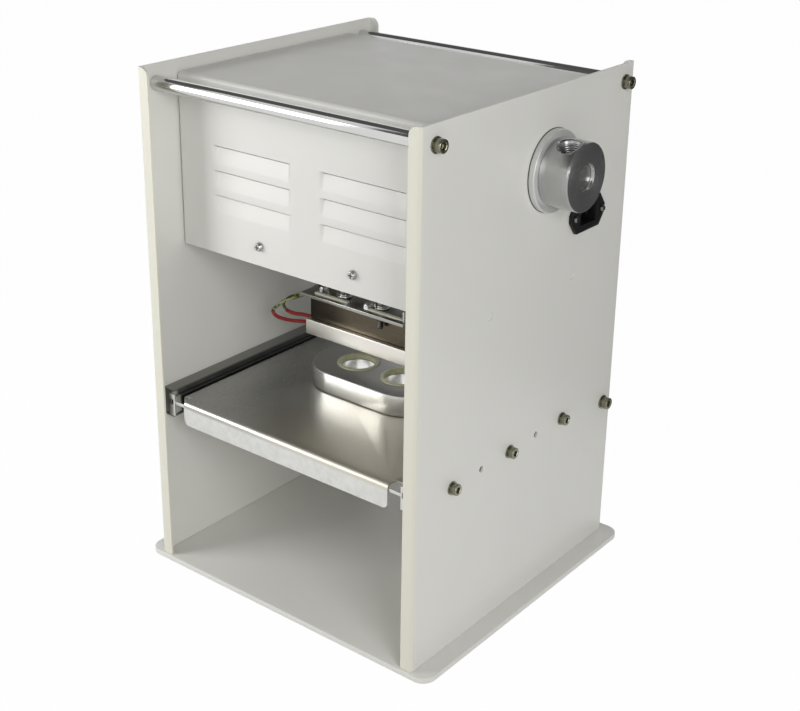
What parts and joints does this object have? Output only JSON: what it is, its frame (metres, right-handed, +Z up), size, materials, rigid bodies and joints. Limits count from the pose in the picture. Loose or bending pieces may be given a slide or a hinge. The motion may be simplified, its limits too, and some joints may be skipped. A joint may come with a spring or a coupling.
{
  "type": "cup sealing machine",
  "caption": "Bench cup sealing machine: folded white frame, rack-and-pinion hand press with a heated sealing plate over a sliding tray and capsule mould",
  "frame": {"origin": "centre of the bounding box in X and Y, on the surface the feet stand on", "axes": "+X to the machine's right seen from the front, +Y from its front to its back, +Z up"},
  "size_m": [0.328, 0.294, 0.4451],
  "materials": {
    "white_paint": "smooth satin powder coat, warm white",
    "cover_paint": "smooth satin paint on folded sheet, white",
    "bright_steel": "ground and polished steel",
    "brushed_steel": "brushed steel sheet and cut steel",
    "zinc": "zinc-plated steel",
    "rail_steel": "dark plated steel",
    "aluminium": "machined aluminium",
    "tinted_steel": "ground steel tinted by heat",
    "spring_steel": "spring wire",
    "black_plastic": "moulded black plastic",
    "black_rubber": "moulded rubber",
    "silicone": "translucent silicone rubber",
    "red_lead": "silicone-insulated lead",
    "braid": "braided glass-fibre sleeve"
  },
  "bodies": {
    "frame": {"base_plate": "white_paint", "left_side_panel": "white_paint", "right_side_panel": "white_paint", "foot_front_left": "black_rubber", "foot_front_right": "black_rubber", "foot_rear_left": "black_rubber", "foot_rear_right": "black_rubber", "housing_cover": "cover_paint", "front_tie_rod": "bright_steel", "rear_tie_rod": "bright_steel", "lower_tie_rod": "bright_steel", "front_tie_rod_screw_left": "zinc", "front_tie_rod_screw_right": "zinc", "rear_tie_rod_screw_left": "zinc", "rear_tie_rod_screw_right": "zinc", "lower_tie_rod_screw_left": "zinc", "lower_tie_rod_screw_right": "zinc", "rail_screw_left_front": "zinc", "rail_screw_left_middle": "zinc", "rail_screw_left_rear": "zinc", "rail_screw_right_front": "zinc", "rail_screw_right_middle": "zinc", "rail_screw_right_rear": "zinc", "cover_screw_left": "zinc", "cover_screw_right": "zinc", "inlet_screw_front": "zinc", "inlet_screw_rear": "zinc", "mechanism_deck": "zinc", "thermostat_body": "zinc", "outer_rail_left": "rail_steel", "outer_rail_right": "rail_steel", "press_body": "aluminium", "shaft_bearing": "aluminium", "power_inlet": "black_plastic", "switch_body": "black_plastic"},
    "lever": {"lever_hub": "aluminium", "pinion_shaft": "bright_steel", "pinion_gear": "brushed_steel"},
    "head": {"ram_rack": "brushed_steel", "sealing_plate": "aluminium", "heater_block": "tinted_steel", "cartridge_heater": "zinc", "head_top_plate": "bright_steel", "guide_post_front_left": "bright_steel", "guide_post_front_right": "bright_steel", "guide_post_rear_left": "bright_steel", "guide_post_rear_right": "bright_steel", "return_spring_left": "spring_steel", "return_spring_right": "spring_steel", "heater_lead_upper": "red_lead", "heater_lead_lower": "red_lead", "thermocouple_lead": "braid"},
    "tray": {"tray_sheet": "brushed_steel", "capsule_mould": "aluminium", "silicone_ring_left": "silicone", "silicone_ring_right": "silicone", "inner_rail_left": "zinc", "inner_rail_right": "zinc"},
    "rocker": {"switch_rocker": "black_plastic"},
    "knob": {"thermostat_knob": "black_plastic"}
  },
  "joints": [
    {"name": "lever_turn", "type": "hinge", "parent": "frame", "child": "lever", "pos_m": [-0.00775, 0.0203, 0.3791], "axis": [1, 0, 0], "range_deg": [0, 81.4]},
    {"name": "press_slide", "type": "slide", "parent": "frame", "child": "head", "axis": [0, 0, -1], "range_m": [0, 0.0284], "stiffness_N_per_m": 1000, "springref_m": -0.035, "deforming": ["return_spring_left", "return_spring_right"]},
    {"name": "tray_slide", "type": "slide", "parent": "frame", "child": "tray", "axis": [0, -1, 0], "range_m": [0, 0.16]},
    {"name": "switch_rock", "type": "hinge", "parent": "frame", "child": "rocker", "pos_m": [-0.08275, 0.1083, 0.3611], "axis": [0, 0, -1], "range_deg": [0, 16]},
    {"name": "thermostat_turn", "type": "hinge", "parent": "frame", "child": "knob", "pos_m": [0.06225, 0.108, 0.3611], "axis": [0, -1, 0], "range_deg": [0, 270]}
  ],
  "couplings": [
    {"joint": "lever_turn", "follows": "press_slide", "rad_per_m": 50}
  ]
}
